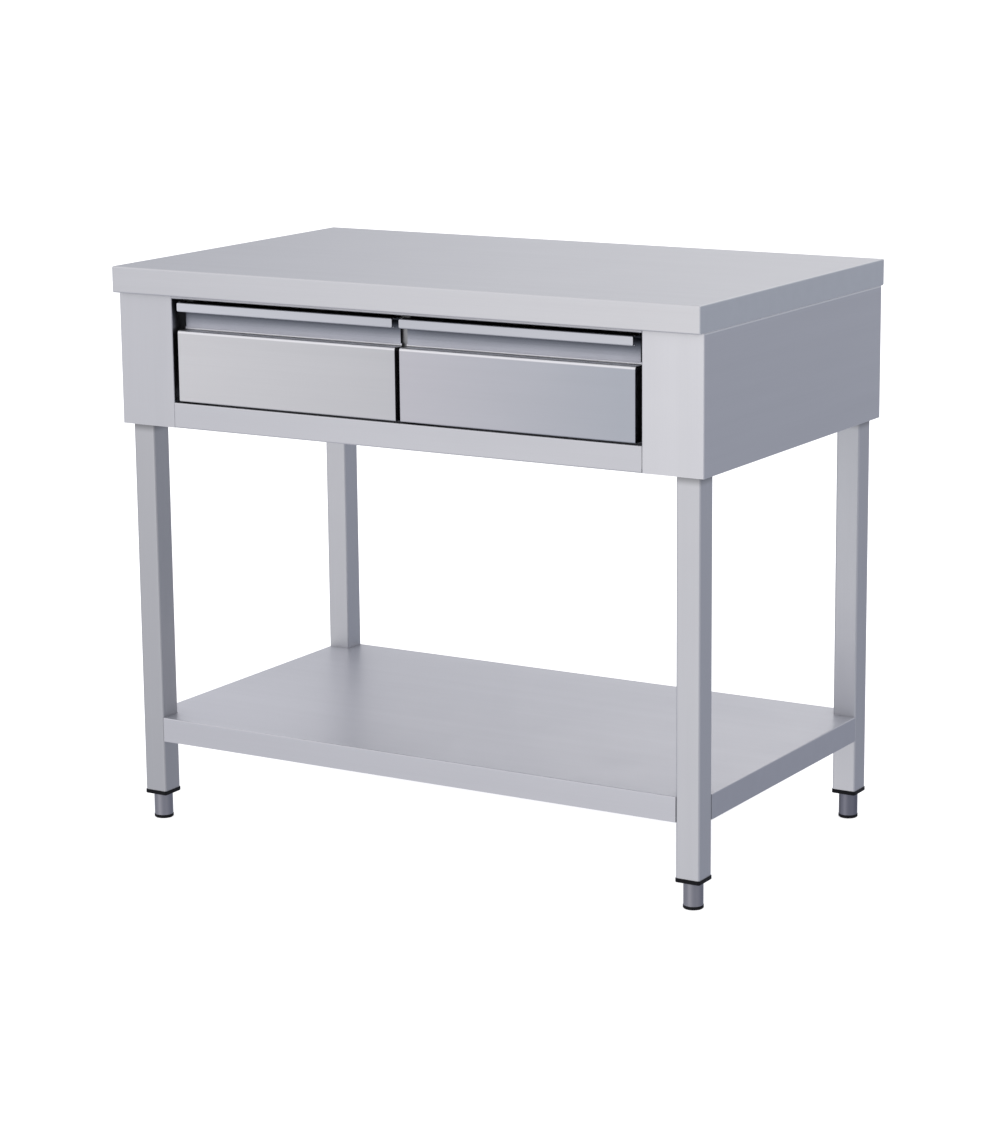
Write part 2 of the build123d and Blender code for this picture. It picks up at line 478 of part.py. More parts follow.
def main():
    worktop()
    core_screws()
    casing()
    save("leg_head_plates", *list(legs()))
    shelf()
    screws, buffers = [], []
    for name, x0 in (("left", -DRW_GAP / 2 - DRW_W), ("right", DRW_GAP / 2)):
        a, b = drawer(name, x0)
        rivets, outer_cages, inner_cages = [], [], []
        for side, face, s in (("left", a - SLIDE_T, 1), ("right", b + SLIDE_T, -1)):
            sc, rv, oc, ic, bf = runner(face, s, name, side)
            screws += sc; rivets += rv; outer_cages += oc; inner_cages += ic; buffers.append(bf)
        save(name + "_drawer_rivets", *rivets)
        save(name + "_drawer_outer_ball_cages", *outer_cages)
        save(name + "_drawer_inner_ball_cages", *inner_cages)
    save("runner_screws", *screws)
    save("runner_buffers", *buffers)
    print("divider face", DIV_X, "support face", SUP_X)


main()
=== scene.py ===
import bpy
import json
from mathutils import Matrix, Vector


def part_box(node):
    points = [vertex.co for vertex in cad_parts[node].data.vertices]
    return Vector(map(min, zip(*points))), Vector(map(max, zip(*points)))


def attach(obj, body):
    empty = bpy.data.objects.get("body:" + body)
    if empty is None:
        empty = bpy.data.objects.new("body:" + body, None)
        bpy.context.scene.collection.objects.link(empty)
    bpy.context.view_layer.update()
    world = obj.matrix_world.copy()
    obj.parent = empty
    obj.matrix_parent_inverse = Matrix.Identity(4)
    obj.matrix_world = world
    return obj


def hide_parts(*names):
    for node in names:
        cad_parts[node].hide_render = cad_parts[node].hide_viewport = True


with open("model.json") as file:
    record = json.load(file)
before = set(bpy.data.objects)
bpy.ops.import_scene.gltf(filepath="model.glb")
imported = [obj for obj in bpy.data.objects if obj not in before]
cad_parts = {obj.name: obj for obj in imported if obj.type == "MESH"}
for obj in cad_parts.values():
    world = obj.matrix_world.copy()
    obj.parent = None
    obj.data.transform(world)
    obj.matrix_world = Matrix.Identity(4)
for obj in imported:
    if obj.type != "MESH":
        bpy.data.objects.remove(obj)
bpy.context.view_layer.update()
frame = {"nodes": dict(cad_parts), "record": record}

import json
import math

import bmesh
import bpy
from mathutils import Matrix, Vector

NODES = frame["nodes"]
RECORD = frame["record"]
SLOT = {s["node"]: s["material_slot"] for s in RECORD["subparts"]}
scene = bpy.context.scene
scene.view_settings.view_transform = "Standard"
scene.view_settings.look = "None"
scene.cycles.use_denoising = True


# ---- camera --------------------------------------------------------------------
def make_camera():
    az, el, roll = math.radians(31.07), math.radians(12.24), math.radians(-0.56)
    back = Vector((math.sin(az) * math.cos(el), -math.cos(az) * math.cos(el), math.sin(el)))
    right = (-back).cross(Vector((0, 0, 1))).normalized()
    up = right.cross(-back)
    r = math.cos(roll) * right + math.sin(roll) * up
    u = -math.sin(roll) * right + math.cos(roll) * up
    m = Matrix((r, u, back)).transposed().to_4x4()
    m.translation = Vector((2.508, -4.165, 1.453))
    data = bpy.data.cameras.new("camera")
    data.sensor_width = 36
    data.lens = 3232 / 1136 * 36
    cam = bpy.data.objects.new("camera", data)
    cam.matrix_world = m
    scene.collection.objects.link(cam)
    scene.camera = cam


make_camera()


# ---- small node-building helpers -------------------------------------------------
class Tree:
    """Short names for building a node tree."""

    def __init__(self, tree):
        self.t = tree

    def node(self, kind, **props):
        n = self.t.nodes.new(kind)
        for k, v in props.items():
            setattr(n, k, v)
        return n

    def put(self, socket, value):
        if value is None:
            return
        if isinstance(value, bpy.types.NodeSocket):
            self.t.links.new(value, socket)
        elif isinstance(value, (tuple, list)) and socket.type == "RGBA" and len(value) == 3:
            socket.default_value = (*value, 1)
        else:
            socket.default_value = value

    def math(self, op, a, b=None, c=None, clamp=False):
        n = self.node("ShaderNodeMath", operation=op, use_clamp=clamp)
        for i, v in enumerate((a, b, c)):
            self.put(n.inputs[i], v)
        return n.outputs[0]

    def vmath(self, op, a, b=None, c=None):
        n = self.node("ShaderNodeVectorMath", operation=op)
        for i, v in enumerate((a, b, c)):
            if v is not None:
                self.put(n.inputs[i], v)
        return n.outputs["Value"] if op in ("DOT_PRODUCT", "LENGTH", "DISTANCE") else n.outputs[0]

    def scale(self, v, s):
        n = self.node("ShaderNodeVectorMath", operation="SCALE")
        self.put(n.inputs[0], v)
        self.put(n.inputs["Scale"], s)
        return n.outputs[0]

    def ramp(self, v, lo, hi, a=0.0, b=1.0, smooth=True):
        n = self.node("ShaderNodeMapRange", interpolation_type="SMOOTHSTEP" if smooth else "LINEAR", clamp=True)
        for i, x in enumerate((v, lo, hi, a, b)):
            self.put(n.inputs[i], x)
        return n.outputs[0]

    def mix(self, f, a, b):
        n = self.node("ShaderNodeMix", data_type="RGBA")
        self.put(n.inputs["Factor"], f)
        self.put([s for s in n.inputs if s.name == "A" and s.type == "RGBA"][0], a)
        self.put([s for s in n.inputs if s.name == "B" and s.type == "RGBA"][0], b)
        return [s for s in n.outputs if s.type == "RGBA"][0]

    def mixf(self, f, a, b):
        n = self.node("ShaderNodeMix", data_type="FLOAT")
        self.put(n.inputs["Factor"], f)
        self.put([s for s in n.inputs if s.name == "A" and s.type == "VALUE"][0], a)
        self.put([s for s in n.inputs if s.name == "B" and s.type == "VALUE"][0], b)
        return [s for s in n.outputs if s.type == "VALUE"][0]

    def noise(self, vec, scale=1.0, detail=2.0, rough=0.5, distort=0.0):
        n = self.node("ShaderNodeTexNoise", noise_dimensions="3D")
        self.put(n.inputs["Vector"], vec)
        self.put(n.inputs["Scale"], scale)
        self.put(n.inputs["Detail"], detail)
        self.put(n.inputs["Roughness"], rough)
        self.put(n.inputs["Distortion"], distort)
        return n.outputs["Fac"]

    def voronoi(self, vec, scale, feature="F1", out="Distance", rnd=1.0):
        n = self.node("ShaderNodeTexVoronoi", feature=feature)
        self.put(n.inputs["Vector"], vec)
        self.put(n.inputs["Scale"], scale)
        self.put(n.inputs["Randomness"], rnd)
        return n.outputs[out]

    def xyz(self, v):
        n = self.node("ShaderNodeSeparateXYZ")
        self.put(n.inputs[0], v)
        return n.outputs

    def stretch(self, v, s, offset=(0, 0, 0), turn=(0, 0, 0)):
        n = self.node("ShaderNodeMapping")
        self.put(n.inputs["Vector"], v)
        n.inputs["Scale"].default_value = s
        n.inputs["Location"].default_value = offset
        n.inputs["Rotation"].default_value = turn
        return n.outputs[0]

    def bump(self, height, strength, distance, normal=None):
        n = self.node("ShaderNodeBump")
        self.put(n.inputs["Height"], height)
        self.put(n.inputs["Strength"], strength)
        self.put(n.inputs["Distance"], distance)
        self.put(n.inputs["Normal"], normal)
        return n.outputs[0]


def new_material(name):
    m = bpy.data.materials.new(name)
    m.use_nodes = True
    m.node_tree.nodes.clear()
    t = Tree(m.node_tree)
    out = t.node("ShaderNodeOutputMaterial")
    bsdf = t.node("ShaderNodeBsdfPrincipled")
    t.t.links.new(bsdf.outputs[0], out.inputs[0])
    return m, t, bsdf


def edge_mask(t, radius, samples=4):
    """1 on the outside edges, 0 on flats: how far the rounded normal leans from the flat one."""
    bevel = t.node("ShaderNodeBevel", samples=samples)
    bevel.inputs["Radius"].default_value = radius
    geo = t.node("ShaderNodeNewGeometry")
    lean = t.math("SUBTRACT", 1.0, t.vmath("DOT_PRODUCT", bevel.outputs[0], geo.outputs["True Normal"]))
    return t.ramp(lean, 0.02, 0.3)


def cavity_shade(t, distance=0.045, dark=0.05, lo=0.04, hi=0.80, samples=6):
    """1 in the open, falling to dark in gaps and under folds: painted shade, ambient occlusion laid into the colour
    where little light gets in.
    """
    ao = t.node("ShaderNodeAmbientOcclusion", samples=samples)
    ao.inputs["Distance"].default_value = distance
    return t.ramp(ao.outputs["AO"], lo, hi, dark, 1.0)


# ---- brushed stainless steel ---------------------------------------------------
AXES = {"x": (1, 0, 0), "y": (0, 1, 0), "z": (0, 0, 1)}


def brushed(name, color, rough=0.36, grain="x", aniso=0.55, streak=0.03, fine=0.02, smudge=0.035, seed=0.0, seams=None, edge=0.10, scratch=0.5, tint=None, gap_shade=0.05):
    """Sheet steel with a brushed grain along one axis, edges smoother where rubbed and painted lighter as a sheen,
    painted shade in gaps and under folds, faint wipe marks and hairline scratches.
    """
    m, t, b = new_material(name)
    co = t.node("ShaderNodeTexCoord").outputs["Object"]
    along = {"x": (0, 1, 1), "y": (1, 0, 1), "z": (1, 1, 0)}[grain]

    def s(a, c):
        return tuple(c if k else a for k in along)

    off = (seed, seed * 1.7, seed * 0.6)
    hair = t.noise(t.stretch(co, s(14, 2600), off), 1, 2, 0.6)           # single brush lines, about 0.4 mm wide
    line = t.noise(t.stretch(co, s(5, 620), off), 1, 3, 0.55)            # groups of lines, 1 to 2 mm
    band = t.noise(t.stretch(co, s(1.4, 46), off), 1, 3, 0.5)            # the belt's wider passes, 20 mm
    wipe = t.noise(t.stretch(co, (5.5, 5.5, 5.5), off, (0.3, 0.5, 0.7)), 1, 4, 0.6, 0.8)
    cloud = t.noise(t.stretch(co, (1.7, 1.7, 1.7), off), 1, 2, 0.5)
    # hairline scratches in two crossing directions
    marks = []
    for turn, density in (((0.13, 0.24, 0.31), 0.735), ((-0.42, 0.9, -0.75), 0.75)):
        v = t.stretch(co, s(9, 900), (seed + 3, seed, 1), turn)
        marks.append(t.ramp(t.noise(v, 1, 1, 0.5), density, density + 0.04))
    marks = t.math("MULTIPLY", t.math("MAXIMUM", *marks), scratch)

    edges = edge_mask(t, 0.0016)
    tone = t.math("ADD", 1.0, t.math("MULTIPLY", t.math("SUBTRACT", line, 0.5), fine * 2))
    tone = t.math("ADD", tone, t.math("MULTIPLY", t.math("SUBTRACT", band, 0.5), streak * 2))
    tone = t.math("ADD", tone, t.math("MULTIPLY", t.math("SUBTRACT", cloud, 0.5), streak))
    tone = t.math("ADD", tone, t.math("MULTIPLY", t.math("SUBTRACT", hair, 0.5), fine))
    # painted highlight: the edges are made lighter in colour, a sheen standing in for light caught on the rounded
    # bends; the lower roughness there is the real rubbing
    tone = t.math("ADD", tone, t.math("MULTIPLY", edges, edge))
    if seams is not None:
        tone = t.math("MULTIPLY", tone, t.math("SUBTRACT", 1.0, t.math("MULTIPLY", seams(t, co), 0.05)))
    # painted shade: ambient occlusion darkens the colour in gaps, recesses and under folds
    shade = cavity_shade(t, dark=gap_shade)
    tone = t.math("MULTIPLY", tone, shade)
    base = t.scale(t.vmath("ADD", tuple(color), (0, 0, 0)), tone)
    # the tint paints light and shade per material: drifting reflections, highlights and shade
    if tint is not None:
        base = t.vmath("MULTIPLY", base, tint(t, co))
    t.put(b.inputs["Base Color"], base)
    b.inputs["Metallic"].default_value = 1.0
    r = t.math("ADD", rough, t.math("MULTIPLY", t.math("SUBTRACT", wipe, 0.5), smudge * 2))
    r = t.math("ADD", r, t.math("MULTIPLY", t.math("SUBTRACT", line, 0.5), 0.06))
    r = t.math("SUBTRACT", r, t.math("MULTIPLY", edges, 0.08))
    r = t.math("ADD", r, t.math("MULTIPLY", marks, 0.08))
    t.put(b.inputs["Roughness"], r)
    height = t.math("ADD", t.math("MULTIPLY", hair, 0.6), t.math("MULTIPLY", line, 0.8))
    height = t.math("SUBTRACT", height, t.math("MULTIPLY", marks, 0.6))
    t.put(b.inputs["Normal"], t.bump(height, 0.25, 0.00006))
    b.inputs["Anisotropic"].default_value = aniso
    geo = t.node("ShaderNodeNewGeometry")
    across = t.vmath("CROSS_PRODUCT", geo.outputs["True Normal"], AXES[grain])
    t.put(b.inputs["Tangent"], t.vmath("NORMALIZE", t.vmath("ADD", across, (0.001, 0.0007, 0.0003))))
    return m


def rail_seams(t, co):
    """The dressed welds between the bottom rail and the stiles."""
    x, y, z = t.xyz(co)
    near = t.math("ABSOLUTE", t.math("SUBTRACT", t.math("ABSOLUTE", x), 0.401))
    wobble = t.math("MULTIPLY", t.math("SUBTRACT", t.noise(t.stretch(co, (60, 60, 260)), 1, 2), 0.5), 0.0016)
    near = t.math("ADD", near, wobble)
    line = t.ramp(near, 0.0005, 0.0017, 1.0, 0.0)
    low = t.ramp(z, 0.6665, 0.668, 1.0, 0.0)
    front = t.ramp(y, -0.2845, -0.283, 1.0, 0.0)
    return t.math("MULTIPLY", t.math("MULTIPLY", line, low), front)


def painted_reflection_drift(way, lo, hi, first, last):
    """A painted reflection: the colour drifts from one tint to another along a direction, as the studio's light falls
    off across the sheet.
    """
    def tint(t, co):
        f = t.ramp(t.vmath("DOT_PRODUCT", co, way), lo, hi, smooth=False)
        return t.vmath("ADD", first, t.scale(tuple(q - p for p, q in zip(first, last)), f))
    return tint


def within(t, v, lo, hi, soft=0.0006):
    """1 between two heights or positions, 0 outside, with soft ends."""
    return t.math("MULTIPLY", t.ramp(v, lo - soft, lo + soft), t.ramp(v, hi - soft, hi + soft, 1.0, 0.0))


def drawer_tint(way, lo, hi, first, last, lips):
    """A painted reflection drifting across the front panel, a painted highlight on the bend along its top and on the
    ledge behind it, painted shade in the finger recess, dark under the lip and lighter at the bottom, with drag lines
    of the press, and a painted reflection drift on the lip.
    """
    panel = painted_reflection_drift(way, lo, hi, first, last)
    lip_reflection_drift = painted_reflection_drift(way, lo, hi, *lips)

    def tint(t, co):
        x, y, z = t.xyz(co)
        back = t.math("MULTIPLY", t.ramp(y, -0.2825, -0.2800), t.ramp(z, 0.7782, 0.7794))
        up = t.ramp(z, 0.7785, 0.806, smooth=False)
        # painted light and shade in the finger recess: dark under the lip, lighter at the bottom
        recess_shade = t.mix(up, (1.105, 1.11, 1.145), (0.40, 0.424, 0.464))
        recess_shade = t.vmath("MULTIPLY", recess_shade, recess_shade)
        pulls = t.noise(t.stretch(co, (7, 7, 420)), 1, 3, 0.6)           # drag lines of the press
        recess_shade = t.scale(recess_shade, t.math("ADD", 0.86, t.math("MULTIPLY", pulls, 0.28)))
        lip = t.math("MULTIPLY", t.ramp(z, 0.803, 0.805), t.math("SUBTRACT", 1.0, back))
        # painted highlight on the rounded bend along the panel's top
        bend_highlight = t.math("MULTIPLY", t.ramp(z, 0.7722, 0.7744), t.ramp(z, 0.779, 0.7798, 1.0, 0.0))
        # painted highlight on the ledge behind the bend, brighter towards the back
        ledge_highlight = t.mix(t.ramp(y, -0.2835, -0.2690, smooth=False), (1.29, 1.285, 1.27), (2.1, 2.1, 2.15))
        front = t.mix(bend_highlight, panel(t, co), ledge_highlight)
        # painted reflection drift on the lip
        front = t.mix(lip, front, lip_reflection_drift(t, co))
        return t.mix(back, front, recess_shade)
    return tint


def skirt_tint(t, co):
    """The skirts: a painted reflection drifting lighter to the right across the face, the side ones painted a little
    brighter, with a painted highlight along their lower edge.
    """
    x, y, z = t.xyz(co)
    front = painted_reflection_drift((1, 0, 0), -0.5, 0.5, (1.0, 1.0, 1.0), (1.055, 1.05, 1.04))(t, co)
    side = t.ramp(t.math("ABSOLUTE", x), 0.4978, 0.4992)
    low = t.ramp(z, 0.8313, 0.8321, 1.0, 0.0)
    # the side skirts painted brighter, with a painted highlight along their lower edge
    face = t.mix(low, (1.09, 1.115, 1.11), (1.45, 1.47, 1.42))
    return t.mix(side, front, face)


def side_tint(t, co):
    """The casing's sides: a painted highlight, a bright band along the skirt's lower edge."""
    x, y, z = t.xyz(co)
    return t.mix(t.ramp(z, 0.8274, 0.8282), (1.0, 1.005, 1.005), (1.36, 1.37, 1.33))


def foot_tint(t, co):
    """The rear right foot painted darker as painted shade, darkest on its left half."""
    x, y, z = t.xyz(co)
    # painted shade on the rear right foot
    far = t.math("MULTIPLY", t.ramp(x, -0.01, 0.01), t.ramp(y, -0.01, 0.01))
    side = t.ramp(x, 0.4570, 0.4640)
    return t.mix(far, (1.0, 1.0, 1.02), t.mix(side, (0.30, 0.30, 0.33), (0.68, 0.69, 0.75)))


def leg_tint(t, co):
    """Each leg is painted its own tone, lit and shaded copies of one steel: the front left one darker towards the
    bottom with its inner side face an even tone of its own, the rear left a little darker, the front right a little
    lighter, the rear right one's front face darker towards the top; and a band of painted shade just under the casing.
    """
    x, y, z = t.xyz(co)
    left = t.ramp(x, -0.01, 0.01, 1.0, 0.0)
    front = t.ramp(y, -0.01, 0.01, 1.0, 0.0)
    down = t.ramp(z, 0.05, 0.62, 1.0, 0.0, smooth=False)
    a = t.mix(down, (0.89, 0.89, 0.89), (0.81, 0.815, 0.82))
    a = t.mix(within(t, x, -0.4512, -0.4480, 0.0003), a, (0.87, 0.865, 0.85))
    b = t.mix(within(t, y, 0.2445, 0.2472, 0.0003), (1.0, 1.0, 1.0), t.mix(down, (0.85, 0.865, 0.88), (1.0, 1.0, 1.0)))
    # lit and shaded copies: each leg painted its own tone
    left_pair = t.mix(front, (0.965, 0.965, 0.965), a)
    right_pair = t.mix(front, b, (1.04, 1.04, 1.035))
    under_casing_shade = t.ramp(z, 0.6130, 0.6265)          # painted shade just under the casing
    return t.scale(t.mix(left, right_pair, left_pair), t.math("SUBTRACT", 1.0, t.math("MULTIPLY", under_casing_shade, 0.45)))


def shelf_tint(t, co):
    """The shelf's flat face: painted light, brighter towards the front."""
    x, y, z = t.xyz(co)
    flat = t.ramp(z, 0.1652, 0.1657)
    f = t.ramp(y, -0.18, 0.24, 1.0, 0.0)
    return t.mix(flat, (0.97, 0.97, 0.98), t.mix(f, (0.965, 0.97, 0.985), (1.09, 1.09, 1.10)))


STEEL = (0.735, 0.74, 0.775)
MATERIALS = {
    "worktop_stainless": brushed("stainless worktop", (0.74, 0.745, 0.775), 0.34, "x", seed=1.0, scratch=0.8, tint=skirt_tint),
    # the worktop's top face: a darker copy of the steel as painted shade, with a painted reflection drifting lighter to
    # the right
    "worktop_face": brushed("stainless worktop face", (0.70, 0.71, 0.745), 0.34, "x", seed=1.0, scratch=0.8,
                            tint=painted_reflection_drift((1, 0, 0), -0.5, 0.1, (0.935, 0.935, 0.94), (0.97, 0.97, 0.97))),
    "casing_x": brushed("stainless casing", STEEL, 0.38, "x", seed=4.0, seams=rail_seams, gap_shade=0.30),
    # painted reflection drift: the right stile lighter than the left
    "casing_z": brushed("stainless casing upright", STEEL, 0.38, "z", seed=5.0, seams=rail_seams, gap_shade=0.30,
                        tint=painted_reflection_drift((1, 0, 0), -0.45, 0.45, (0.985, 0.985, 0.985), (1.145, 1.14, 1.125))),
    "casing_y": brushed("stainless casing side", STEEL, 0.38, "y", seed=6.0, tint=side_tint, gap_shade=0.20),
    # the drawer fronts: painted reflection drifts, each darker to the right, the right drawer painted darker overall
    "drawer_stainless": brushed("stainless drawer", (0.745, 0.75, 0.78), 0.34, "x", seed=9.0, streak=0.035,
                                tint=drawer_tint((1, 0, 0), -0.39, -0.01, (1.07, 1.06, 1.04), (0.91, 0.91, 0.905),
                                                  ((1.05, 1.065, 1.09), (0.87, 0.885, 0.915)))),
    "drawer_stainless_2": brushed("stainless drawer, painted darker", (0.745, 0.75, 0.78), 0.34, "x", seed=10.0, streak=0.035,
                                  tint=drawer_tint((1, 0, 0), 0.01, 0.37, (0.875, 0.865, 0.89), (0.68, 0.71, 0.755),
                                                    ((0.88, 0.895, 0.92), (0.92, 0.935, 0.96)))),
    "tray_stainless": brushed("stainless drawer tray", (0.70, 0.705, 0.73), 0.40, "y", seed=12.0, scratch=1.0),
    "shelf_stainless": brushed("stainless shelf", (0.72, 0.725, 0.76), 0.37, "x", seed=15.0, scratch=1.0, smudge=0.05, tint=shelf_tint, gap_shade=0.35),
    "leg_stainless": brushed("stainless leg", (0.72, 0.725, 0.755), 0.38, "z", seed=18.0, tint=leg_tint, gap_shade=0.60),
    "runner_support_steel": brushed("mill finish steel", (0.60, 0.61, 0.63), 0.45, "y", aniso=0.2, seed=21.0, streak=0.06, fine=0.03),
    "foot_steel": brushed("foot steel", (0.37, 0.37, 0.405), 0.34, "z", aniso=0.3, seed=24.0, streak=0.03, tint=foot_tint),
}


def plated(name, color, rough, seed=0.0):
    """Zinc plated or bright steel: smooth with cloudy patches, edges painted lighter as a sheen, and painted shade in
    gaps.
    """
    m, t, b = new_material(name)
    co = t.node("ShaderNodeTexCoord").outputs["Object"]
    spangle = t.noise(t.stretch(co, (180, 180, 180), (seed, 0, 0)), 1, 3, 0.6)
    patch = t.noise(t.stretch(co, (22, 22, 22), (seed, 2, 0)), 1, 4, 0.6)
    edges = edge_mask(t, 0.0006)
    tone = t.math("ADD", 0.94, t.math("MULTIPLY", patch, 0.12))
    # painted highlight on the edges and painted shade in gaps
    tone = t.math("ADD", tone, t.math("MULTIPLY", edges, 0.12))
    tone = t.math("MULTIPLY", tone, cavity_shade(t, 0.03, 0.12))
    t.put(b.inputs["Base Color"], t.scale(t.vmath("ADD", color, (0, 0, 0)), tone))
    b.inputs["Metallic"].default_value = 1.0
    t.put(b.inputs["Roughness"], t.math("ADD", rough - 0.05, t.math("MULTIPLY", spangle, 0.10)))
    t.put(b.inputs["Normal"], t.bump(spangle, 0.12, 0.00005))
    return m


def moulded(name, color, rough, grain=1500, seed=0.0, edge=0.05, dusty=0.18, gloss=0.45):
    """Moulded black plastic or rubber: fine spark-eroded grain, rubbed edges and some dust."""
    m, t, b = new_material(name)
    co = t.node("ShaderNodeTexCoord").outputs["Object"]
    pits = t.voronoi(co, grain)
    fine = t.noise(t.stretch(co, (900, 900, 900), (seed, 0, 0)), 1, 2, 0.6)
    dust = t.noise(t.stretch(co, (70, 70, 70), (seed, 0, 1)), 1, 4, 0.65)
    edges = edge_mask(t, 0.0008)
    c = t.mix(t.ramp(dust, 0.5, 0.8, 0.0, dusty), color, tuple(min(1, x * 3 + 0.03) for x in color))
    c = t.mix(t.math("MULTIPLY", edges, edge * 4, clamp=True), c, tuple(x + gloss * 0.13 for x in color))
    t.put(b.inputs["Base Color"], c)
    t.put(b.inputs["Roughness"], t.math("ADD", rough - 0.06, t.math("MULTIPLY", fine, 0.14)))
    t.put(b.inputs["Normal"], t.bump(t.math("ADD", t.math("MULTIPLY", pits, 0.6), t.math("MULTIPLY", fine, 0.5)), 0.3, 0.00012))
    b.inputs["Specular IOR Level"].default_value = gloss
    return m


def board(name):
    """Bare particle board with a resin-sealed face."""
    m, t, b = new_material(name)
    co = t.node("ShaderNodeTexCoord").outputs["Object"]
    chips = t.voronoi(t.stretch(co, (260, 120, 260), (0, 0, 0), (0, 0, 0.4)), 1.0, out="Color")
    r = t.xyz(chips)[0]
    mottled = t.noise(t.stretch(co, (9, 9, 9)), 1, 4, 0.6)
    c = t.mix(r, (0.33, 0.235, 0.145), (0.52, 0.405, 0.27))
    c = t.mix(t.ramp(mottled, 0.3, 0.7, 0.0, 0.35), c, (0.42, 0.31, 0.2))
    t.put(b.inputs["Base Color"], c)
    t.put(b.inputs["Roughness"], t.math("ADD", 0.68, t.math("MULTIPLY", r, 0.15)))
    t.put(b.inputs["Normal"], t.bump(t.math("ADD", r, mottled), 0.35, 0.0003))
    return m


MATERIALS["zinc_steel"] = plated("zinc plated steel", (0.66, 0.68, 0.70), 0.27, 2.0)
MATERIALS["cage_steel"] = plated("greased cage steel", (0.50, 0.50, 0.50), 0.33, 5.0)
MATERIALS["ball_steel"] = plated("ball steel", (0.78, 0.78, 0.80), 0.10, 7.0)
MATERIALS["black_plastic"] = moulded("black nylon", (0.006, 0.006, 0.008), 0.40, dusty=0.08, gloss=0.12)
MATERIALS["black_pad"] = moulded("black pad", (0.007, 0.007, 0.009), 0.50, seed=3.0, dusty=0.08, gloss=0.12)
MATERIALS["buffer_rubber"] = moulded("buffer rubber", (0.03, 0.03, 0.032), 0.62, seed=5.0)
MATERIALS["core_board"] = board("core board")

GIVEN = {
    "front_bottom_rail": "casing_x", "front_top_rail": "casing_x", "rear_panel": "casing_x",
    "left_side_panel": "casing_y", "right_side_panel": "casing_y",
    "right_drawer_front": "drawer_stainless_2",
    "left_drawer_tray": "tray_stainless", "right_drawer_tray": "tray_stainless",
}


for n, o in NODES.items():
    slot = GIVEN.get(n, SLOT[n])
    o.data.materials.clear()
    o.data.materials.append(MATERIALS[slot])


def split_faces(o, pick, material):
    """Gives the faces that pick says their own material. The shape is untouched."""
    o.data.materials.append(material)
    k = len(o.data.materials) - 1
    idx = [k if pick(p) else 0 for p in o.data.polygons]
    o.data.polygons.foreach_set("material_index", idx)


# the side panels' stiles are brushed upright, the sides along their length
for n in ("left_side_panel", "right_side_panel"):
    split_faces(NODES[n], lambda p: p.center.y < -0.2825, MATERIALS["casing_z"])


# the balls in the runners' cages are bright, the cages greased
def islands(me):
    """The connected pieces of a mesh, as lists of face numbers. Points at the same place count as one."""
    where, parent = {}, []

    def find(i):
        while parent[i] != i:
            parent[i] = parent[parent[i]]
            i = parent[i]
        return i

    key = []
    for v in me.vertices:
        k = (round(v.co.x, 6), round(v.co.y, 6), round(v.co.z, 6))
        if k not in where:
            where[k] = len(parent)
            parent.append(len(parent))
        key.append(where[k])
    for p in me.polygons:
        a = find(key[p.vertices[0]])
        for i in p.vertices[1:]:
            parent[find(key[i])] = a
    out = {}
    for p in me.polygons:
        out.setdefault(find(key[p.vertices[0]]), []).append(p.index)
    return list(out.values())


for n in [n for n in NODES if n.endswith("_ball_cages")]:
    me = NODES[n].data
    balls = set()
    for faces in islands(me):
        pts = [me.vertices[i].co for f in faces for i in me.polygons[f].vertices]
        span = [max(p[k] for p in pts) - min(p[k] for p in pts) for k in range(3)]
        if max(span) < 0.006:
            balls.update(faces)
    split_faces(NODES[n], lambda p: p.index in balls, MATERIALS["ball_steel"])


# the flat face of the worktop gets its own darker copy of the steel, painted shade, with a painted reflection drifting
# lighter to the right
for n in ("worktop_skin",):
    split_faces(NODES[n], lambda p: p.normal.z > 0.98, MATERIALS["worktop_face"])


# ---- screw threads on the levelling feet ----------------------------------------
def threaded_rod(name, r, pitch, z0, z1, cx, cy):
    """A rod with a rolled 60 degree thread: the profile winds up as one helical strip, with plain capped ends."""
    seg = 36
    depth = 0.5413 * pitch
    root = r - depth
    # one pitch of the profile, as (share of pitch, radius)
    prof = [(0.0, root), (0.125, root), (0.4375, r), (0.5625, r), (0.875, root)]
    turns = (z1 - z0) / pitch
    total = int(turns * seg)
    bm = bmesh.new()
    rows = []
    for i in range(total + 1):
        a = 2 * math.pi * i / seg
        base = z0 + pitch * i / seg
        row = []
        for share, rad in prof:
            z = base + (share - 1) * pitch
            # the thread fades out at both ends
            fade = min(1, max(0, (z - z0) / (pitch * 1.2)), max(0, (z1 - z) / (pitch * 1.2)))
            rr = (root + (rad - root) * fade) if rad > root else root
            z = min(max(z, z0), z1)
            row.append(bm.verts.new((cx + rr * math.cos(a), cy + rr * math.sin(a), z)))
        rows.append(row)
    for i in range(total):
        for k in range(len(prof) - 1):
            bm.faces.new((rows[i][k], rows[i + 1][k], rows[i + 1][k + 1], rows[i][k + 1]))
    # join each turn's last profile point to the next turn's first
    for i in range(total - seg):
        bm.faces.new((rows[i][-1], rows[i + 1][-1], rows[i + seg + 1][0], rows[i + seg][0]))
    bm.normal_update()
    me = bpy.data.meshes.new(name)
    bmesh.ops.remove_doubles(bm, verts=bm.verts, dist=1e-6)
    # close both ends with a cap
    edges = [e for e in bm.edges if len(e.link_faces) == 1]
    bmesh.ops.holes_fill(bm, edges=edges, sides=0)
    bmesh.ops.recalc_face_normals(bm, faces=bm.faces)
    bm.to_mesh(me)
    bm.free()
    o = bpy.data.objects.new(name, me)
    scene.collection.objects.link(o)
    return o


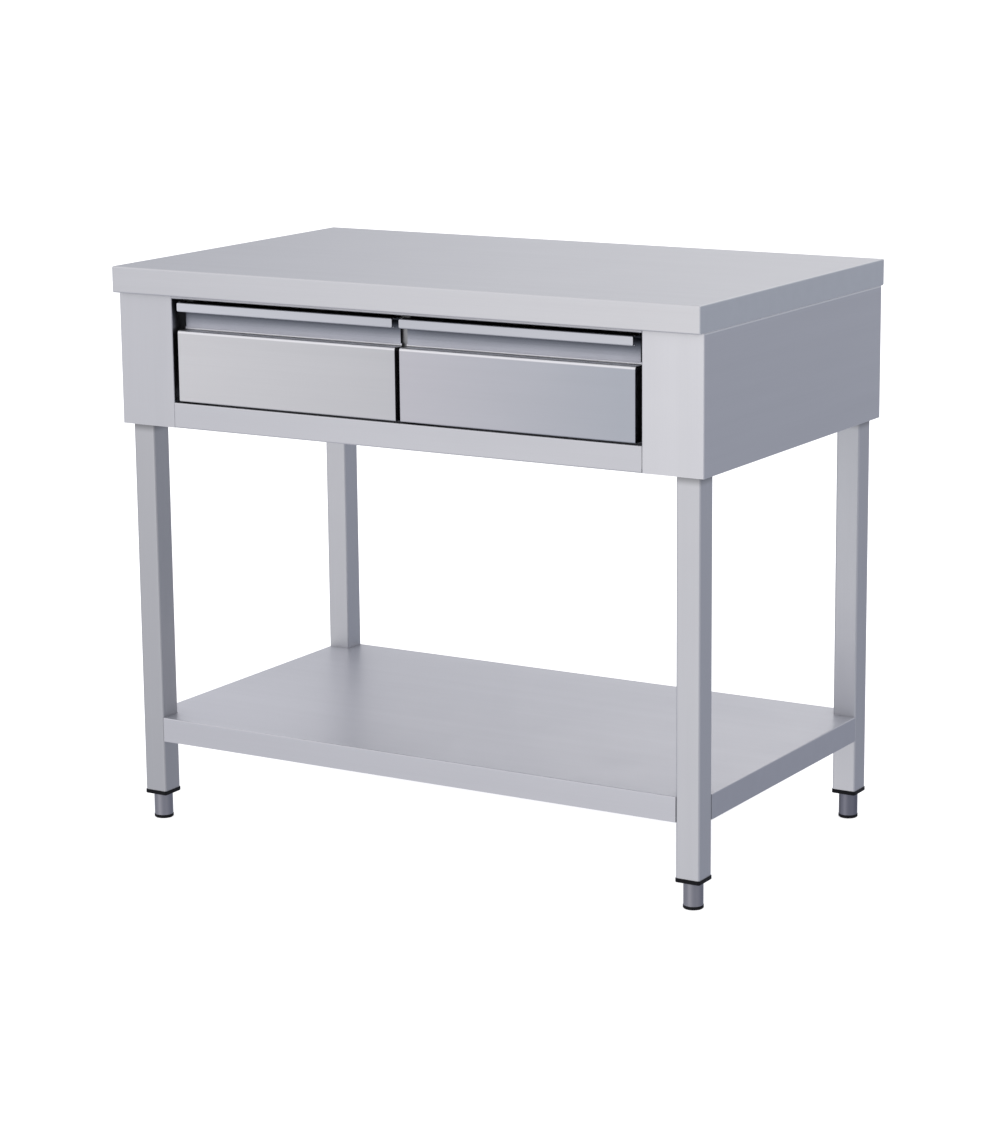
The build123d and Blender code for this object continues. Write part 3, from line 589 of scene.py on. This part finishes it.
for corner in ("front_left", "front_right", "rear_left", "rear_right"):
    node = "foot_screw_" + corner
    lo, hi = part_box(node)
    c = (lo + hi) / 2
    rod = threaded_rod("threaded_stem_" + corner, (hi.x - lo.x) / 2 - 0.00002, 0.0015, lo.z, hi.z, c.x, c.y)
    rod.data.materials.append(MATERIALS["zinc_steel"])
    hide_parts(node)
    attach(rod, "foot_spindle_" + corner)


# ---- floor, light and background ---------------------------------------------------
def make_floor():
    bm = bmesh.new()
    n, r = 96, 60.0
    ring = [bm.verts.new((r * math.cos(2 * math.pi * i / n), r * math.sin(2 * math.pi * i / n), 0)) for i in range(n)]
    bm.faces.new(ring)
    me = bpy.data.meshes.new("floor")
    bm.to_mesh(me)
    bm.free()
    o = bpy.data.objects.new("floor", me)
    scene.collection.objects.link(o)
    m, t, b = new_material("pale floor")
    co = t.node("ShaderNodeTexCoord").outputs["Object"]
    mottle = t.noise(t.stretch(co, (3, 3, 3)), 1, 3, 0.5)
    t.put(b.inputs["Base Color"], t.mix(mottle, (0.80, 0.80, 0.80), (0.82, 0.82, 0.82)))
    b.inputs["Roughness"].default_value = 0.9
    b.inputs["Specular IOR Level"].default_value = 0.0
    b.inputs["Emission Color"].default_value = (1, 1, 1, 1)
    b.inputs["Emission Strength"].default_value = 0.78
    o.data.materials.append(m)
    o.visible_glossy = False        # a matt studio sweep: it takes soft shadows but is not mirrored in the steel,
    o.visible_shadow = False        # and the light from low down reaches the steel through it
    return o


FLOOR = make_floor()

# soft studio light as broad areas of the surroundings: direction, where the area starts and is full (as cosines), colour, strength
FILL, SOFT = (0.831, 0.900, 1.113), (1.104, 1.056, 0.974)
LOBES = [
    ("surroundings", None, 0, 0, FILL, 0.291),
    ("right_low", (0.978, 0.0, -0.208), 0.62, 1, SOFT, 0.050),
    ("front_right_low", (0.692, -0.692, -0.208), 0.62, 1, SOFT, 0.071),
    ("front_low", (0.0, -0.978, -0.208), 0.62, 1, SOFT, 0.204),
    ("front_left_low", (-0.692, -0.692, -0.208), 0.62, 1, SOFT, 0.145),
    ("behind_left_low", (-0.692, 0.692, -0.208), 0.62, 1, SOFT, 0.212),
    ("behind_right_high", (0.347, 0.837, 0.423), 0.62, 1, SOFT, 0.211),
    ("front_right_high", (0.837, -0.347, 0.423), 0.62, 1, SOFT, 0.220),
    ("front_left_high", (-0.347, -0.837, 0.423), 0.62, 1, SOFT, 0.322),
    ("left_high", (-0.837, -0.347, 0.423), 0.62, 1, SOFT, 0.207),
    ("overhead_back_right", (0.332, 0.332, 0.883), 0.62, 1, SOFT, 0.192),
    ("overhead_front_right", (0.332, -0.332, 0.883), 0.62, 1, SOFT, 0.258),
    ("overhead_front_left", (-0.332, -0.332, 0.883), 0.62, 1, SOFT, 0.066),
    ("overhead_back_left", (-0.332, 0.332, 0.883), 0.62, 1, SOFT, 0.330),
    ("floor_back", (0.0, 0.574, -0.819), 0.5, 1, SOFT, 0.020),
    ("floor_right", (0.574, 0.0, -0.819), 0.5, 1, SOFT, 0.144),
    ("floor_front", (0.0, -0.574, -0.819), 0.5, 1, SOFT, 0.028),
    ("floor_left", (-0.574, -0.0, -0.819), 0.5, 1, SOFT, 0.152),
    ("floor", (0.0, 0.0, -1.0), 0.6, 1, SOFT, 0.110),
    ("overhead_strip", (-0.45, -0.25, 0.86), 0.85, 1, SOFT, 0.056),
    ("front_centre", (-0.2, -0.97, -0.12), 0.88, 1, SOFT, 0.193),
    ("behind_centre", (-0.2, 0.96, 0.2), 0.88, 1, SOFT, 0.407),
    ("behind_left_high", (-0.5, 0.7, 0.5), 0.8, 1, SOFT, 0.114),
]


def make_world():
    w = bpy.data.worlds.new("studio")
    scene.world = w
    w.use_nodes = True
    w.node_tree.nodes.clear()
    t = Tree(w.node_tree)
    out = t.node("ShaderNodeOutputWorld")
    d = t.node("ShaderNodeTexCoord").outputs["Generated"]
    total = None
    for name, axis, lo, hi, color, k in LOBES:
        c = tuple(x * k for x in color)
        if axis is None:
            part = t.vmath("ADD", c, (0, 0, 0))
        else:
            v = Vector(axis).normalized()
            part = t.scale(t.vmath("ADD", c, (0, 0, 0)), t.ramp(t.vmath("DOT_PRODUCT", d, tuple(v)), lo, hi))
        total = part if total is None else t.vmath("ADD", total, part)
    light = t.node("ShaderNodeBackground")
    t.put(light.inputs["Color"], total)
    white = t.node("ShaderNodeBackground")
    white.inputs["Color"].default_value = (1, 1, 1, 1)
    white.inputs["Strength"].default_value = 1.0
    path = t.node("ShaderNodeLightPath")
    mix = t.node("ShaderNodeMixShader")
    t.put(mix.inputs[0], path.outputs["Is Camera Ray"])
    t.t.links.new(light.outputs[0], mix.inputs[1])
    t.t.links.new(white.outputs[0], mix.inputs[2])
    t.t.links.new(mix.outputs[0], out.inputs[0])


make_world()
